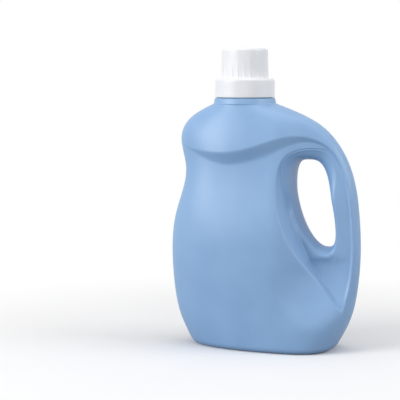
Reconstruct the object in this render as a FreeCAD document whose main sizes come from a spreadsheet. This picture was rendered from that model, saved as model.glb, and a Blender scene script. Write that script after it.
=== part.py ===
import FreeCAD, Part
import math
import os
import Sketcher

# Laundry detergent bottle, about three litres, with a drain-back spout and a screwed dosing cap.
# Millimetres, +Z up, +X to the handle, base plane at height 0.
# Distances called left, right and depth are measured from the neck's axis.

doc = FreeCAD.newDocument("detergent_bottle")
sheet = doc.addObject("Spreadsheet::Sheet", "Sizes")

# Heights on the body, each with its reach to the left and right and its half depth.
STATIONS = ("base", "foot", "hip", "belly", "flank", "waist", "dome", "brow", "shoulder", "crown")

SIZES = {
    # Body outline.
    "base_height": 0.0, "base_left": 56.0, "base_right": 96.6, "base_depth": 42.0, "base_centre": 52.0,
    "foot_step": 30.0, "foot_left": 71.2, "foot_right": 112.8, "foot_depth": 44.0, "foot_centre": 48.0,
    "hip_step": 30.0, "hip_left": 77.8, "hip_right": 121.0, "hip_depth": 46.0, "hip_centre": 41.0,
    "belly_step": 40.0, "belly_left": 80.2, "belly_right": 124.8, "belly_depth": 48.0,
    "belly_centre": 25.0,
    "flank_step": 40.0, "flank_left": 75.4, "flank_right": 123.3, "flank_depth": 48.0,
    "flank_centre": 10.0,
    "waist_step": 50.0, "waist_left": 64.0, "waist_right": 113.6, "waist_depth": 46.0, "waist_centre": 3.0,
    "dome_step": 30.0, "dome_left": 69.2, "dome_right": 96.2, "dome_depth": 42.5, "dome_centre": 1.5,
    "brow_step": 15.0, "brow_left": 63.6, "brow_right": 79.3, "brow_depth": 38.5, "brow_centre": 0.8,
    "shoulder_step": 12.0, "shoulder_left": 49.0, "shoulder_right": 55.0, "shoulder_depth": 34.5,
    "shoulder_centre": 0.2,
    "crown_step": 8.5, "crown_left": 31.5, "crown_right": 31.5, "crown_depth": 31.5, "crown_centre": 0.0,
    "left_fullness": 2.05, "right_fullness": 2.5,
    "wall": 1.1,
    # Base.
    "base_edge_radius": 6.0, "standing_ring_width": 6.0, "push_up_slope_width": 5.0, "push_up_rise": 3.0,
    # Handle and finger hole.
    "handle_half_depth": 13.0, "handle_rounding": 9.0, "grip_start": 40.0, "grip_run": 60.0,
    "grip_low": 22.0, "grip_rise": 65.0,
    "hole_middle": 70.7, "hole_lean": 19.4, "hole_width": 38.0, "hole_drop": 81.8, "hole_length": 89.8,
    "hole_top_fullness": 2.8, "hole_bottom_fullness": 2.4, "hole_lean_bend": 1.7, "hole_taper": 0.08,
    # Ledge under the dome and ridge of the handle.
    "ledge_start_drop": 6.5, "ledge_tip_width": 1.5, "ledge_drop": 7.0, "ledge_width": 12.0,
    "ledge_inset": 8.5,
    "ridge_width": 2.5, "ridge_inset": 2.2, "band_width": 5.5,
    "knee_drop": 8.2, "knee_inset": 9.4, "arch_length": 35.0, "arch_rise": 10.8,
    "heel_height": 41.7, "panel_fade_height": 110.0,
    # Recess round the finger hole.
    "recess_crest_length": 19.0, "recess_crest_drop": 0.8, "recess_brow_length": 39.0,
    "recess_brow_drop": 7.3, "recess_left": 45.0, "recess_left_drop": 18.0,
    "recess_low_out": 67.6, "recess_low_drop": 11.2,
    "recess_depth": 15.0, "recess_wall_width": 9.5, "recess_step_run": 20.0, "rim_rounding": 6.0,
    "rim_foot_rounding": 10.0, "rim_side_rounding": 2.5, "rim_side_turn": 35.0, "narrow_run": 12.0,
    "grip_tilt": 0.25, "grip_wall_share": 0.15, "facet_top_drop": 9.2, "facet_run": 6.0, "facet_tilt": 0.06,
    "brow_rounding_share": 0.8, "brow_wall_share": 0.12, "brow_rim_share": 0.9, "brow_floor_share": 0.94,
    "brow_turn": 55.0,
    # Neck.
    "neck_radius": 28.0, "neck_wall": 1.6, "neck_length": 16.0,
    "collar_flare": 1.6, "collar_sink": 1.3, "collar_ledge": 0.15, "collar_length": 6.8,
    # Dosing cap.
    "skirt_gap": 0.6, "cup_length": 31.6, "tier_radius": 24.0, "tier_wall": 1.5, "thread_room": 1.65,
    "skirt_wall": 1.4, "cap_edge_radius": 3.0, "cap_top_wall": 1.5,
    "cap_shoulder_wall": 1.8, "shoulder_edge_radius": 2.2,
    "rib_count": 24.0, "rib_width": 1.1, "rib_rise": 0.45, "rib_length": 20.0,
    # Spout insert and seal.
    "flange_overhang": 0.6, "flange_thickness": 1.2, "plug_gap": 0.05, "plug_wall": 1.2, "plug_length": 12.0,
    "spout_radius": 12.0, "spout_wall": 1.2, "spout_length": 22.0, "spout_cut": 7.0, "trough_thickness": 1.2,
    "drain_radius": 2.5, "drain_out": 18.0,
    "seal_thickness": 1.0, "seal_inset": 0.4, "seal_side_gap": 0.25,
}

# Places that follow from the sizes: each station stands one step above the one below it.
PLACES = {upper + "_height": lower + "_height + " + upper + "_step"
          for lower, upper in zip(STATIONS, STATIONS[1:])}
PLACES.update({
    "hole_bottom": "waist_height - hole_drop",
    "ledge_start_height": "dome_height - ledge_start_drop",
    "recess_left_height": "waist_height - recess_left_drop",
    "recess_low_height": "hole_bottom - recess_low_drop",
    "facet_top": "hole_bottom - facet_top_drop",
    "collar_bottom": "crown_height - collar_sink",
    "collar_top": "collar_bottom + collar_length",
    "rim_height": "collar_top + neck_length",
    "shoulder_top": "rim_height + flange_thickness + seal_thickness + cap_shoulder_wall",
    "cap_bottom": "collar_top + skirt_gap",
    "cap_top": "shoulder_top + cup_length",
    "spout_top": "rim_height + spout_length",
    "neck_bore_radius": "neck_radius - neck_wall",
    "skirt_radius": "neck_radius + thread_room + skirt_wall",
    "collar_top_radius": "skirt_radius + collar_ledge",
    "collar_radius": "collar_top_radius + collar_flare",
    "flange_radius": "neck_radius + flange_overhang",
    "seal_inner_radius": "neck_bore_radius + seal_inset",
})

contents = {alias: str(size) for alias, size in SIZES.items()}
contents.update({alias: "=" + formula for alias, formula in PLACES.items()})
for row, (alias, content) in enumerate(contents.items(), start=1):
    sheet.set("A" + str(row), alias)
    sheet.set("B" + str(row), content)
    sheet.setAlias("B" + str(row), alias)
doc.recompute()


def size(alias):
    """Current value of one named size."""
    return float(sheet.get(alias))


# Smooth functions of height

def smooth_through(heights, values):
    """Natural cubic spline through the given stations, as a function of height."""
    count = len(heights)
    gaps = [heights[i + 1] - heights[i] for i in range(count - 1)]
    upper = [0.0] * count
    right_side = [0.0] * count
    for i in range(1, count - 1):
        change = (values[i + 1] - values[i]) / gaps[i] - (values[i] - values[i - 1]) / gaps[i - 1]
        pivot = 2 * (gaps[i - 1] + gaps[i]) - gaps[i - 1] * upper[i - 1]
        upper[i] = gaps[i] / pivot
        right_side[i] = (6 * change - gaps[i - 1] * right_side[i - 1]) / pivot
    bends = [0.0] * count
    for i in range(count - 2, 0, -1):
        bends[i] = right_side[i] - upper[i] * bends[i + 1]

    def at(height):
        height = min(max(height, heights[0]), heights[-1])
        i = 0
        while i < count - 2 and height > heights[i + 1]:
            i += 1
        low = (heights[i + 1] - height) / gaps[i]
        high = 1 - low
        square = gaps[i] ** 2 / 6
        return (low * values[i] + high * values[i + 1]
                + square * ((low ** 3 - low) * bends[i] + (high ** 3 - high) * bends[i + 1]))

    return at


def ease(share):
    """Smooth step from 0 to 1."""
    share = min(max(share, 0.0), 1.0)
    return share * share * (3 - 2 * share)


def lerp(first, second, share):
    return first + (second - first) * share


STATION_HEIGHTS = [size(name + "_height") for name in STATIONS]
left_reach = smooth_through(STATION_HEIGHTS, [size(name + "_left") for name in STATIONS])
right_reach = smooth_through(STATION_HEIGHTS, [size(name + "_right") for name in STATIONS])
half_depth = smooth_through(STATION_HEIGHTS, [size(name + "_depth") for name in STATIONS])
section_centre = smooth_through(STATION_HEIGHTS, [size(name + "_centre") for name in STATIONS])

CROWN = size("crown_height")
HEEL = size("heel_height")
WALL = size("wall")
LEFT_FULLNESS = size("left_fullness")
RIGHT_FULLNESS = size("right_fullness")
HANDLE_ROUNDING = size("handle_rounding")
HANDLE_HALF_DEPTH = size("handle_half_depth")
GRIP_START = size("grip_start")
GRIP_RUN = size("grip_run")
GRIP_LOW = size("grip_low")
GRIP_RISE = size("grip_rise")
HOLE_TOP = size("hole_bottom") + size("hole_length")
KNEE_HEIGHT = size("dome_height") - size("knee_drop")
KNEE_OUT = right_reach(KNEE_HEIGHT) - size("knee_inset")
ARCH_OUT = KNEE_OUT - size("arch_length")
ARCH_HEIGHT = KNEE_HEIGHT + size("arch_rise")
SIDE_TOLERANCE = 0.001


def out_at(angle, height, inset):
    """Distance to the right of the neck axis at a section angle: 0 is the left end, pi the right end."""
    centre = section_centre(height)
    if angle < math.pi / 2:
        return centre - (left_reach(height) + centre - inset) * math.cos(angle)
    return centre - (right_reach(height) - centre - inset) * math.cos(angle)


def angle_at(out, height, inset):
    """Section angle of a point at a given distance to the right of the neck axis."""
    centre = section_centre(height)
    reach = left_reach(height) + centre - inset if out < centre else right_reach(height) - centre - inset
    return math.acos(min(max((centre - out) / reach, -1.0), 1.0))


def hull_depth(out, height, inset):
    """Half depth of the plain hull: two half superellipses, thinned to the handle on the right."""
    centre = section_centre(height)
    rise = 1 - height / CROWN
    if out < centre:
        share = (centre - out) / (left_reach(height) + centre - inset)
        power = 2 + (LEFT_FULLNESS - 2) * rise
    else:
        share = (out - centre) / (right_reach(height) - centre - inset)
        power = 2 + (RIGHT_FULLNESS - 2) * rise
    depth = (half_depth(height) - inset) * max(1 - min(share, 1.0) ** power, 0.0) ** (1 / power)
    edge = max(1 - max(right_reach(height) - inset - out, 0.0) / HANDLE_ROUNDING, 0.0)
    handle = (HANDLE_HALF_DEPTH - inset) * math.sqrt(1 - edge * edge)
    thinning = ease((out - GRIP_START) / GRIP_RUN) * ease((height - GRIP_LOW) / GRIP_RISE)
    return lerp(depth, min(handle, depth), thinning)


# Lines drawn on the front of the body, as places to the right and up

def flat(out, height):
    return FreeCAD.Vector(out, 0, height)


def curve_through(places):
    line = Part.BSplineCurve()
    line.interpolate(places)
    return line


def spread(line, first, last, count):
    """Evenly spread places on a curve between two of its parameters."""
    return [line.value(lerp(first, last, i / (count - 1))) for i in range(count)]


def spread_by_angle(line, first, last, count, inset):
    """Places on a curve between two of its parameters, evenly spread in section angle."""
    fine = spread(line, first, last, 40 * count)
    angles = [angle_at(place.x, place.z, inset) for place in fine]
    chosen = []
    i = 0
    for k in range(count):
        wanted = lerp(angles[0], angles[-1], k / (count - 1))
        while i < len(fine) - 2 and angles[i + 1] < wanted:
            i += 1
        share = (wanted - angles[i]) / (angles[i + 1] - angles[i])
        chosen.append(lerp(fine[i], fine[i + 1], share))
    return chosen


def offset_line(places, distances):
    """Moves each place along the line's right-hand normal by its own distance."""
    moved = []
    for i, place in enumerate(places):
        before = places[max(i - 1, 0)]
        after = places[min(i + 1, len(places) - 1)]
        along = (after - before).normalize()
        moved.append(place + FreeCAD.Vector(along.z, 0, -along.x) * distances[i])
    return moved


def hole_middle(height):
    """Middle of the finger hole at a height: it leans to the right as it goes down."""
    down = min(max((HOLE_TOP - height) / size("hole_length"), 0.0), 1.0)
    return size("hole_middle") + size("hole_lean") * down ** size("hole_lean_bend")


def hole_rim(share, inset):
    """Place on the finger hole's rim: share runs once round, from the top to the left and down.

    The rim is a superellipse, squarer at the top, whose middle line leans and whose width tapers.
    """
    turn = 2 * math.pi * share
    power = 2 / lerp(size("hole_bottom_fullness"), size("hole_top_fullness"), (1 + math.cos(turn)) / 2)
    across = math.copysign(abs(math.sin(turn)) ** power, -math.sin(turn))
    upward = math.copysign(abs(math.cos(turn)) ** power, math.cos(turn))
    height = HOLE_TOP - size("hole_length") / 2 * (1 - upward)
    width = size("hole_width") / 2 * (1 + size("hole_taper") * upward)
    rise = inset * upward
    return flat(hole_middle(height) + (width + inset) * across, height + rise)


def dome_line(inset):
    """Lower edge of the dome: from the left end over the belly and the arch, then down the handle."""
    start = size("ledge_start_height")
    low = start - size("ledge_drop")
    band = size("band_width")
    waist = size("waist_height")
    flank = size("flank_height")
    belly = size("belly_height")
    return [
        flat(inset - left_reach(start), start),
        flat(-size("waist_left") / 2, low),
        flat(0, low),
        flat(ARCH_OUT / 2, (low + ARCH_HEIGHT) / 2),
        flat(ARCH_OUT, ARCH_HEIGHT),
        flat(KNEE_OUT, KNEE_HEIGHT),
        flat(right_reach(waist) - band, waist),
        flat(right_reach(flank) - band, flank),
        flat(right_reach(belly) - band, belly),
        flat(right_reach(HEEL) - band, HEEL),
    ]


def ledge_growth(out):
    """Share of the ledge's full size at a place: it grows from the left end to the neck's axis."""
    start = -left_reach(size("ledge_start_height"))
    return ease((out - start) / -start)


def ledge_narrowing(out):
    """Share of the way from the full ledge to the handle's ridge."""
    return ease((out - ARCH_OUT / 2) / (KNEE_OUT - ARCH_OUT / 2))


def ledge_size(out, full, ridge):
    return lerp(full * ledge_growth(out), ridge, ledge_narrowing(out))


def ridge_fade(height):
    """The ridge runs out over its last stretch above the heel."""
    return ease((height - HEEL) / (size("hip_height") - HEEL))


def hull_front(place, inset, setback):
    """Lifts a flat place to the front of the hull, set back by a depth. The sides lie in the middle plane."""
    depth = hull_depth(place.x, place.z, inset) - setback
    if depth < SIDE_TOLERANCE:
        depth = 0.0
    return FreeCAD.Vector(place.x, -depth, place.z)


def uniform_knots(count, degree):
    knots = [float(i) for i in range(count - degree + 1)]
    repeats = [1] * len(knots)
    repeats[0] = degree + 1
    repeats[-1] = degree + 1
    return knots, repeats


def patch_face(rows):
    """Smooth face with the given grid of poles."""
    degree_u = min(3, len(rows) - 1)
    degree_v = min(3, len(rows[0]) - 1)
    knots_u, repeats_u = uniform_knots(len(rows), degree_u)
    knots_v, repeats_v = uniform_knots(len(rows[0]), degree_v)
    surface = Part.BSplineSurface()
    surface.buildFromPolesMultsKnots(rows, repeats_u, repeats_v, knots_u, knots_v, False, False,
                                     degree_u, degree_v)
    return surface.toShape()


def pole_edge(poles):
    """Smooth edge with the same poles as a patch's border."""
    knots, repeats = uniform_knots(len(poles), min(3, len(poles) - 1))
    line = Part.BSplineCurve()
    line.buildFromPolesMultsKnots(poles, repeats, knots, False, min(3, len(poles) - 1))
    return line.toShape()


def mirrored(points):
    return [FreeCAD.Vector(point.x, -point.y, point.z) for point in points]


def loop_of(lines):
    """Closed wire of border lines on the front half and their mirror images."""
    edges = [pole_edge(line) for line in lines]
    edges += [pole_edge(mirrored(line)) for line in lines]
    return Part.Wire(Part.__sortEdges__(edges))


class BlownSkin:
    """One skin of the hollow body: the outer one, or the inner one set in by the wall.

    Each half is made of smooth patches that meet along the lines drawn on the body.
    """

    ledge_steps = 16
    arch_steps = 12
    ridge_steps = 26
    side_steps = 18
    across_steps = 8
    lintel_steps = 6
    # Shares of the way round the finger hole's rim where the patches of the recess meet.
    rim_knee = -0.10
    rim_turn = 0.13
    rim_heel = 0.56
    # Share of the recess's outline, from its brow to its left end, where its top stretch stops.
    outline_turn = 0.75
    # Steps over which the inner skin's outline moves away from the ends that it shares.
    outline_ease_steps = 4
    # Rows across the recess: steps of the rounding, then shares of the floor and of the wall.
    rounding_steps = 5
    floor_marks = (0.25, 0.5, 0.75, 1.0)
    wall_marks = (0.2, 0.5, 0.8)
    wall_softness = 0.25
    wall_room = 0.6
    # Shares of the push-up's slope between which it climbs.
    slope_marks = (0.3, 0.7)

    def __init__(self, inset):
        self.inset = inset
        self.patches = []
        self.ring_outer = []
        self.ring_inner = []
        self.floor_borders = []
        self.roof_borders = []
        self.draw_lines()
        self.lay_dome()
        self.lay_panel()
        self.lay_recess()
        self.lay_foot()

    def on_hull(self, places):
        return [hull_front(place, self.inset, 0.0) for place in places]

    def on_panel(self, places):
        return [self.panel_point(place.x, place.z) for place in places]

    def panel_point(self, out, height):
        """Point of the main panel, which lies back under the ledge and comes forward as it goes down."""
        lows = self.ledge_low + self.arch_low
        i = 0
        while i < len(lows) - 2 and out > lows[i + 1].x:
            i += 1
        share = (out - lows[i].x) / max(lows[i + 1].x - lows[i].x, 0.001)
        top = lerp(lows[i].z, lows[i + 1].z, share)
        full = ledge_size(out, size("ledge_inset"), size("ridge_inset"))
        fade = size("panel_fade_height")
        return hull_front(flat(out, height), self.inset, full * ease((height - fade) / (top - fade)))

    def draw_lines(self):
        """Lines that the patches share: the dome's edge, the ledge's foot, the recess and the sides."""
        places = dome_line(self.inset)
        line = curve_through(places)
        first = line.parameter(places[0])
        arch_start = line.parameter(places[3])
        knee = line.parameter(places[5])
        last = line.parameter(places[-1])
        ledge = spread_by_angle(line, first, arch_start, self.ledge_steps, self.inset)
        arch = spread_by_angle(line, arch_start, knee, self.arch_steps, self.inset)
        ridge = spread(line, knee, last, self.ridge_steps)
        whole = ledge + arch[1:] + ridge[1:]
        widths = [max(ledge_size(place.x, size("ledge_width"), size("ridge_width")),
                      size("ledge_tip_width")) * ridge_fade(place.z) for place in whole]
        lows = offset_line(whole, widths)
        knee_index = self.ledge_steps + self.arch_steps - 2
        for i, place in enumerate(ledge):
            share = i / (self.ledge_steps - 1)
            lows[i] = lerp(self.lowered(place, widths[i]), lows[i], share * share)
        self.ledge_low = lows[:self.ledge_steps]
        self.arch_low = lows[self.ledge_steps - 1:knee_index + 1]
        ridge_low = lows[knee_index:]
        self.ledge_top = self.on_hull(ledge)
        self.arch_top = self.on_hull(arch)
        self.ridge_top = self.on_hull(ridge)
        self.ledge_foot = self.on_panel(self.ledge_low)
        self.arch_foot = self.on_panel(self.arch_low)
        self.ridge_foot = [hull_front(place, self.inset, size("ridge_inset") * ridge_fade(place.z))
                           for place in ridge_low]
        self.ridge_foot[0] = self.arch_foot[-1]
        self.ridge_foot[-1] = self.ridge_top[-1]
        self.draw_recess(flat(self.arch_foot[-1].x, self.arch_foot[-1].z),
                         flat(self.ridge_foot[-1].x, self.ridge_foot[-1].z))

    def lowered(self, place, drop):
        """The place with the same section angle, lower by a drop."""
        height = place.z - drop
        return flat(out_at(angle_at(place.x, place.z, self.inset), height, self.inset), height)

    def draw_recess(self, knee, heel):
        """Outline of the recess, from the knee over its crest and down its left side to the heel."""
        places = [
            knee,
            flat(KNEE_OUT - size("recess_crest_length"), KNEE_HEIGHT - size("recess_crest_drop")),
            flat(KNEE_OUT - size("recess_brow_length"), KNEE_HEIGHT - size("recess_brow_drop")),
            flat(size("recess_left"), size("recess_left_height")),
            flat(size("recess_low_out"), size("recess_low_height")),
            heel,
        ]
        line = curve_through(places)
        turn = lerp(line.parameter(places[2]), line.parameter(places[3]), self.outline_turn)
        top = spread(line, line.parameter(knee), turn, self.arch_steps)
        left = spread(line, turn, line.parameter(heel), self.side_steps)
        whole = top + left[1:]
        last = len(whole) - 1
        shifts = [self.inset * ease(min(i, last - i) / self.outline_ease_steps) for i in range(last + 1)]
        whole = offset_line(whole, shifts)
        self.recess_top = self.on_panel(whole[:self.arch_steps])
        self.recess_left = self.on_panel(whole[self.arch_steps - 1:])
        self.recess_top[0] = self.arch_foot[-1]
        self.recess_left[-1] = self.ridge_foot[-1]

    def left_side(self, low, high, count):
        return [flat(out_at(0, height, self.inset), height) for height in
                [lerp(low, high, i / (count - 1)) for i in range(count)]]

    def right_side(self, count):
        """Evenly spread places down the right side, from the crown to the heel."""
        fine = [flat(out_at(math.pi, height, self.inset), height) for height in
                [lerp(CROWN, HEEL, i / 200) for i in range(201)]]
        line = Part.makePolygon(fine)
        return [flat(spot.x, spot.z) for spot in line.discretize(Number=count)]

    def hull_path(self, start, end, count):
        """Path on the hull between two points, straight in section angle and height."""
        first = angle_at(start.x, start.z, self.inset)
        last = angle_at(end.x, end.z, self.inset)
        path = []
        for i in range(count):
            share = i / (count - 1)
            height = lerp(start.z, end.z, share)
            path.append(flat(out_at(lerp(first, last, share), height, self.inset), height))
        return path

    def add_patch(self, rows):
        self.patches.append(rows)

    def blend(self, bottom, top, left, right, lift):
        """Fills a patch between four borders, blending section angle and height, then lifts it."""
        columns = len(bottom)
        count = len(left)

        def spot(point):
            return angle_at(point.x, point.z, self.inset), point.z

        corners = [spot(bottom[0]), spot(bottom[-1]), spot(top[0]), spot(top[-1])]
        rows = [bottom]
        for j in range(1, count - 1):
            v = j / (count - 1)
            row = [left[j]]
            for i in range(1, columns - 1):
                u = i / (columns - 1)
                mixed = []
                for k in range(2):
                    up = lerp(spot(bottom[i])[k], spot(top[i])[k], v)
                    side = lerp(spot(left[j])[k], spot(right[j])[k], u)
                    low = lerp(corners[0][k], corners[1][k], u)
                    high = lerp(corners[2][k], corners[3][k], u)
                    plain = lerp(low, high, v)
                    mixed.append(up + side - plain)
                row.append(lift(out_at(mixed[0], mixed[1], self.inset), mixed[1]))
            row.append(right[j])
            rows.append(row)
        rows.append(top)
        return rows

    def hull_point(self, out, height):
        return hull_front(flat(out, height), self.inset, 0.0)

    def lay_dome(self):
        """The dome over the ledge, in two patches, and the band outside the handle's ridge."""
        start = self.ledge_top[0]
        arch_start = self.arch_top[0]
        knee = self.arch_top[-1]
        middle_angle = angle_at(arch_start.x, arch_start.z, self.inset)
        left_end = flat(out_at(0, CROWN, self.inset), CROWN)
        middle = flat(out_at(middle_angle, CROWN, self.inset), CROWN)
        right_end = flat(out_at(math.pi, CROWN, self.inset), CROWN)
        roof_left = self.on_hull(self.hull_path(left_end, middle, self.ledge_steps))
        roof_right = self.on_hull(self.hull_path(middle, right_end, self.arch_steps))
        left = self.left_side(start.z, CROWN, self.across_steps)
        seam = self.on_hull(self.hull_path(arch_start, middle, self.across_steps))
        shoulder = self.on_hull(self.hull_path(knee, right_end, self.across_steps))
        self.add_patch(self.blend(self.ledge_top, roof_left, left, seam, self.hull_point))
        self.add_patch(self.blend(self.arch_top, roof_right, seam, shoulder, self.hull_point))
        self.roof_borders += [roof_left, roof_right]
        heel = self.ridge_top[-1]
        self.heel_right = self.on_hull(self.hull_path(heel, flat(out_at(math.pi, HEEL, self.inset), HEEL),
                                                      self.across_steps))
        outer = self.right_side(self.ridge_steps)
        outer[0] = shoulder[-1]
        outer[-1] = self.heel_right[-1]
        self.add_patch(self.blend(self.ridge_top, outer, shoulder, self.heel_right, self.hull_point))
        for low, high in ((self.ledge_foot, self.ledge_top), (self.arch_foot, self.arch_top),
                          (self.ridge_foot, self.ridge_top)):
            middle_row = [lerp(low[i], high[i], 0.5) for i in range(len(low))]
            self.add_patch([low, middle_row, high])

    def lay_panel(self):
        """The main panel, in two patches, and the lintel over the recess."""
        turn = self.recess_left[0]
        heel = self.recess_left[-1]
        left_heel = flat(out_at(0, HEEL, self.inset), HEEL)
        left_turn = flat(out_at(0, turn.z, self.inset), turn.z)
        self.heel_left = self.on_hull(self.hull_path(left_heel, heel, self.ledge_steps))
        waist = self.on_panel(self.hull_path(left_turn, turn, self.ledge_steps))
        corner = self.ledge_foot[-1]
        step = self.on_panel(self.hull_path(turn, corner, self.lintel_steps))
        left_low = self.left_side(HEEL, turn.z, self.side_steps)
        left_high = self.left_side(turn.z, self.ledge_foot[0].z, self.lintel_steps)
        recess_up = self.recess_left[::-1]
        recess_up[0] = self.heel_left[-1]
        self.add_patch(self.blend(self.heel_left, waist, left_low, recess_up, self.panel_point))
        self.add_patch(self.blend(waist, self.ledge_foot, left_high, step, self.panel_point))
        tip = [self.arch_foot[-1]] * self.lintel_steps
        self.add_patch(self.blend(self.recess_top[::-1], self.arch_foot, step, tip, self.panel_point))

    def lay_recess(self):
        """The recess: a wall down from its outline, a floor, and the rounding into the finger hole."""
        spans = (
            (self.recess_top, self.rim_knee, self.rim_turn),
            (self.recess_left, self.rim_turn, self.rim_heel),
            (self.ridge_foot, self.rim_knee, self.rim_heel - 1),
        )
        for outline, first, last in spans:
            steps = len(outline) - 1
            self.add_patch([self.recess_profile(lerp(first, last, i / steps), point)
                            for i, point in enumerate(outline)])

    def ridge_foot_at(self, height):
        """Place on the foot of the handle's ridge at a height."""
        foot = self.ridge_foot
        i = 0
        while i < len(foot) - 2 and height < foot[i + 1].z:
            i += 1
        share = (foot[i].z - height) / (foot[i].z - foot[i + 1].z)
        return lerp(foot[i], foot[i + 1], min(max(share, 0.0), 1.0))

    def recess_floor(self, place):
        """Depth of the recess: even on the left, a tilted grip on the right, one facet under the hole."""
        ridge = self.ridge_foot_at(place.z)
        inward = ridge.x - place.x
        grip = size("grip_tilt") * inward - ridge.y
        past_hole = (place.x - hole_middle(place.z)) / size("recess_step_run")
        side = lerp(size("recess_depth") - self.inset, grip, ease(past_hole + 0.5))
        facet = size("facet_tilt") * inward - ridge.y
        return lerp(side, facet, ease((size("facet_top") - place.z) / size("facet_run")))

    def recess_profile(self, share, outline):
        """Points from the hole's rim up its rounding, over the floor and up the wall to the outline.

        The rounding is part of an ellipse. Over the hole it takes up nearly the whole slope, and where
        the outline runs close to the hole, one straight slope takes the place of floor and wall.
        """
        rim = hole_rim(share, self.inset)
        run = math.hypot(outline.x - rim.x, outline.z - rim.z)
        top = -outline.y
        turn = 2 * math.pi * share
        to_handle = ease(0.5 - math.sin(turn) / 2)
        over = ease(math.cos(turn))
        under = ease(-1.5 * math.cos(turn) - 0.5)
        roomy = max(ease((run - size("narrow_run")) / size("narrow_run")), to_handle)
        reach = lerp(size("rim_side_rounding"), size("rim_rounding"), roomy)
        reach = lerp(reach, size("rim_foot_rounding"), under)
        wall = size("recess_wall_width") * lerp(1.0, size("grip_wall_share"), to_handle)
        wall = min(wall, self.wall_room * (run - reach))
        reach = lerp(reach, size("brow_rounding_share") * run, over)
        wall = lerp(wall, size("brow_wall_share") * run, over)

        def place_at(distance):
            return lerp(rim, outline, distance / run)

        def floor_at(distance, brow_share):
            floor = self.recess_floor(place_at(distance))
            return lerp(lerp(min(floor, top), floor, to_handle), brow_share * top, over)

        rim_depth = floor_at(reach, size("brow_rim_share"))
        end = math.radians(lerp(lerp(size("rim_side_turn"), 90.0, roomy), size("brow_turn"), over))
        profile = []
        for i in range(self.rounding_steps + 1):
            angle = end * i / self.rounding_steps
            profile.append((reach * (1 - math.cos(angle)) / (1 - math.cos(end)),
                            rim_depth * math.sin(angle) / math.sin(end)))
        rest = [(lerp(reach, run - wall, part), 0.0) for part in self.floor_marks]
        rest += [(run - wall * (1 - part), lerp(part, ease(part), self.wall_softness))
                 for part in self.wall_marks]
        for distance, climb in rest:
            stepped = lerp(floor_at(min(distance, run - wall), size("brow_floor_share")), top, climb)
            straight = lerp(rim_depth, top, (distance - reach) / (run - reach))
            profile.append((distance, lerp(straight, stepped, max(roomy, over))))
        points = []
        for distance, depth in profile:
            place = place_at(distance)
            points.append(FreeCAD.Vector(place.x, -depth, place.z))
        return points + [outline]

    def foot_profile(self):
        """Inset and height from the heel down the foot and round the base's edge."""
        radius = size("base_edge_radius")
        inner = radius - self.inset
        profile = [(self.inset, lerp(HEEL, radius, i / 5)) for i in range(6)]
        for i in range(1, 5):
            turn = math.pi / 2 * i / 4
            profile.append((radius - inner * math.cos(turn), radius - inner * math.sin(turn)))
        return profile

    def push_up_profile(self):
        """Inset and height from the standing ring's inner edge up to the raised middle of the base."""
        ring = size("base_edge_radius") + size("standing_ring_width")
        slope = ring + size("push_up_slope_width")
        rise = size("push_up_rise") + self.inset
        start, end = self.slope_marks
        return [(ring, self.inset), (lerp(ring, slope, start), self.inset),
                (lerp(ring, slope, end), rise), (slope, rise)]

    def lay_foot(self):
        """The foot under the heel with the base's edge, and the slope inside the standing ring."""
        for heel_line in (self.heel_left, self.heel_right):
            angles = [angle_at(point.x, point.z, self.inset) for point in heel_line]
            foot = [heel_line] + [self.ring_line(angles, *level) for level in self.foot_profile()[1:]]
            slope = [self.ring_line(angles, *level) for level in self.push_up_profile()]
            self.add_patch(foot)
            self.add_patch(slope)
            self.ring_outer.append(foot[-1])
            self.ring_inner.append(slope[0])
            self.floor_borders.append(slope[-1])

    def ring_line(self, angles, inset, height):
        """Points round the base at the given section angles, inset and height."""
        line = []
        for angle in angles:
            out = out_at(angle, height, inset)
            line.append(hull_front(flat(out, height), inset, 0.0))
        return line

    def solid(self):
        faces = []
        for rows in self.patches:
            faces.append(patch_face(rows))
            faces.append(patch_face([mirrored(row) for row in rows]))
        for borders in (self.floor_borders, self.roof_borders):
            faces.append(Part.Face(loop_of(borders)))
        rings = [loop_of(self.ring_outer), loop_of(self.ring_inner)]
        faces.append(Part.makeFace(rings, "Part::FaceMakerBullseye"))
        shell = Part.makeShell(faces)
        shell.sewShape()
        return Part.makeSolid(shell)


# Turned and moulded pieces: each is a sketched section turned about the neck's axis

def origin_plane(body, role):
    for feature in body.Origin.OriginFeatures:
        if feature.Role == role:
            return feature
    raise ValueError("no origin plane " + role)


def new_body(name):
    body = doc.addObject("PartDesign::Body", name)
    body.Label = name
    return body


def section_sketch(body, name, corners, plane="XZ_Plane"):
    """Closed sketch whose corners follow pairs of expressions of the sizes."""
    sketch = body.newObject("Sketcher::SketchObject", name)
    sketch.AttachmentSupport = (origin_plane(body, plane), [""])
    sketch.MapMode = "FlatFace"
    bound = [(bind(across), bind(upward)) for across, upward in corners]
    spots = [FreeCAD.Vector(float(sheet.evalExpression(across)), float(sheet.evalExpression(upward)), 0)
             for across, upward in bound]
    count = len(spots)
    for i in range(count):
        sketch.addGeometry(Part.LineSegment(spots[i], spots[(i + 1) % count]), False)
    for i in range(count):
        sketch.addConstraint(Sketcher.Constraint("Coincident", i, 2, (i + 1) % count, 1))
    for i in range(count):
        for kind, value, expression in (("DistanceX", spots[i].x, bound[i][0]),
                                        ("DistanceY", spots[i].y, bound[i][1])):
            if abs(value) < SIDE_TOLERANCE:
                axis = -2 if kind == "DistanceX" else -1
                sketch.addConstraint(Sketcher.Constraint("PointOnObject", i, 1, axis))
            else:
                index = sketch.addConstraint(Sketcher.Constraint(kind, -1, 1, i, 1, value))
                sketch.setExpression("Constraints[" + str(index) + "]", expression)
    return sketch


def bind(formula):
    """Puts the sheet's name before each size in a formula."""
    words = formula.split()
    return " ".join("Sizes." + word if word in contents else word for word in words)


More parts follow.
